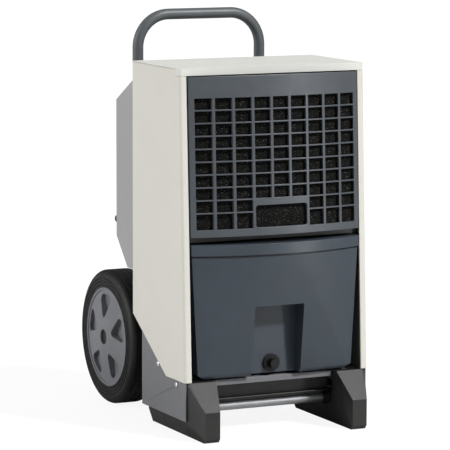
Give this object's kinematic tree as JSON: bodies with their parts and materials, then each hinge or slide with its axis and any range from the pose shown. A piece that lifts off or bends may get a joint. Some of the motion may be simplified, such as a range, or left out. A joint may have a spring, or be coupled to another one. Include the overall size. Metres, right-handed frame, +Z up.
{
  "type": "portable dehumidifier",
  "caption": "Wheeled condensing dehumidifier: sheet metal cabinet with a curved intake grille, slide-out water container, tube handle, two rear wheels and two front feet.",
  "frame": {"origin": "centre of the footprint of the whole object, on the floor", "axes": "+Z up, -Y towards the front with the grille and the container, +X to the right of a viewer who faces the front"},
  "size_m": [0.36, 0.54, 0.7346],
  "materials": {
    "cover_paint": "fine textured powder coat, cream",
    "top_paint": "fine textured powder coat, cream white",
    "chassis_paint": "satin grey powder coat",
    "housing_paint": "satin mid grey powder coat",
    "foot_plastic": "moulded charcoal plastic",
    "crossbar_paint": "satin charcoal powder coat",
    "tube_steel": "zinc plated steel",
    "zinc_sheet": "galvanised sheet",
    "grille_plastic": "moulded slate grey plastic",
    "filter_foam": "open-cell black foam",
    "tank_plastic": "moulded slate blue plastic",
    "black_plastic": "moulded black plastic",
    "white_plastic": "moulded white plastic",
    "handle_paint": "gloss charcoal powder coat",
    "tyre_rubber": "solid rubber",
    "rim_plastic": "moulded grey plastic",
    "copper": "bare copper",
    "fin_aluminium": "bare aluminium fins",
    "compressor_paint": "gloss black enamel",
    "display_glass": "tinted window",
    "lamp_green": "clear green lens",
    "key_plastic": "moulded grey plastic",
    "rubber": "black rubber"
  },
  "bodies": {
    "cabinet": {"chassis_side_left": "chassis_paint", "chassis_side_right": "chassis_paint", "base_pan": "chassis_paint", "container_shelf": "chassis_paint", "front_crossbar": "crossbar_paint", "foot_left": "foot_plastic", "foot_right": "foot_plastic", "cross_tube": "tube_steel", "side_cover_left": "cover_paint", "side_cover_right": "cover_paint", "top_cover": "top_paint", "front_crosspiece": "crossbar_paint", "rear_bulkhead": "zinc_sheet", "rear_housing": "housing_paint", "outlet_grille": "black_plastic", "compressor_cover": "housing_paint", "compressor": "compressor_paint", "compressor_mounts": "rubber", "evaporator": "fin_aluminium", "condenser": "fin_aluminium", "drip_tray": "black_plastic", "refrigerant_pipes": "copper", "filter_drier": "copper", "fan_shroud": "black_plastic", "motor_bracket": "tube_steel", "fan_motor": "black_plastic", "electrical_box": "black_plastic", "control_panel": "black_plastic", "display_window": "display_glass", "indicator_lamps": "lamp_green", "cable_gland": "black_plastic", "cord_hooks": "black_plastic", "handle_brackets": "black_plastic", "axle_brackets": "chassis_paint", "axle": "tube_steel", "axle_spacers": "tube_steel", "level_switch": "black_plastic", "fasteners": "tube_steel"},
    "grille": {"grille_panel": "grille_plastic", "air_filter": "filter_foam"},
    "container": {"water_container": "tank_plastic", "container_lid": "tank_plastic", "drain_fitting": "black_plastic", "float_bracket": "white_plastic"},
    "cap": {"drain_cap": "black_plastic"},
    "float": {"level_float": "white_plastic"},
    "handle": {"handle_tube": "handle_paint"},
    "knob_left": {"clamp_knob_left": "black_plastic"},
    "knob_right": {"clamp_knob_right": "black_plastic"},
    "wheel_left": {"tyre_left": "tyre_rubber", "rim_left": "rim_plastic", "wheel_bushes_left": "black_plastic"},
    "wheel_right": {"tyre_right": "tyre_rubber", "rim_right": "rim_plastic", "wheel_bushes_right": "black_plastic"},
    "fan": {"fan_impeller": "black_plastic"},
    "rocker": {"power_switch": "black_plastic"},
    "key_up": {"button_up": "key_plastic"},
    "key_down": {"button_down": "key_plastic"},
    "key_mode": {"button_mode": "key_plastic"}
  },
  "joints": [
    {"name": "grille_pull", "type": "slide", "parent": "cabinet", "child": "grille", "axis": [0, -1, 0], "range_m": [0, 0.04]},
    {"name": "container_slide", "type": "slide", "parent": "cabinet", "child": "container", "axis": [0, -1, 0], "range_m": [0, 0.22]},
    {"name": "cap_turn", "type": "hinge", "parent": "container", "child": "cap", "pos_m": [0, -0.211, 0.122], "axis": [0, -1, 0], "range_deg": [0, 540]},
    {"name": "float_swing", "type": "hinge", "parent": "container", "child": "float", "pos_m": [0, -0.057, 0.3], "axis": [-1, 0, 0], "range_deg": [0, 20]},
    {"name": "handle_lift", "type": "slide", "parent": "cabinet", "child": "handle", "axis": [0, 0, 1], "range_m": [0, 0.075]},
    {"name": "knob_left_turn", "type": "hinge", "parent": "cabinet", "child": "knob_left", "pos_m": [-0.14, 0.098, 0.352], "axis": [-1, 0, 0], "range_deg": [0, 360]},
    {"name": "knob_right_turn", "type": "hinge", "parent": "cabinet", "child": "knob_right", "pos_m": [0.14, 0.098, 0.352], "axis": [1, 0, 0], "range_deg": [0, 360]},
    {"name": "wheel_left_spin", "type": "hinge", "parent": "cabinet", "child": "wheel_left", "pos_m": [-0.138, 0.145, 0.125], "axis": [1, 0, 0], "continuous": true},
    {"name": "wheel_right_spin", "type": "hinge", "parent": "cabinet", "child": "wheel_right", "pos_m": [0.138, 0.145, 0.125], "axis": [1, 0, 0], "continuous": true},
    {"name": "fan_spin", "type": "hinge", "parent": "cabinet", "child": "fan", "pos_m": [0, -0.039, 0.475], "axis": [0, 1, 0], "continuous": true},
    {"name": "rocker_tilt", "type": "hinge", "parent": "cabinet", "child": "rocker", "pos_m": [-0.0625, 0.04077, 0.59808], "axis": [0, 0.8786, -0.4775], "range_deg": [0, 14]},
    {"name": "key_up_press", "type": "slide", "parent": "cabinet", "child": "key_up", "axis": [0, -0.4775, -0.8786], "range_m": [0, 0.0015], "stiffness_N_per_m": 400, "springref_m": -0.001},
    {"name": "key_down_press", "type": "slide", "parent": "cabinet", "child": "key_down", "axis": [0, -0.4775, -0.8786], "range_m": [0, 0.0015], "stiffness_N_per_m": 400, "springref_m": -0.001},
    {"name": "key_mode_press", "type": "slide", "parent": "cabinet", "child": "key_mode", "axis": [0, -0.4775, -0.8786], "range_m": [0, 0.0015], "stiffness_N_per_m": 400, "springref_m": -0.001}
  ]
}
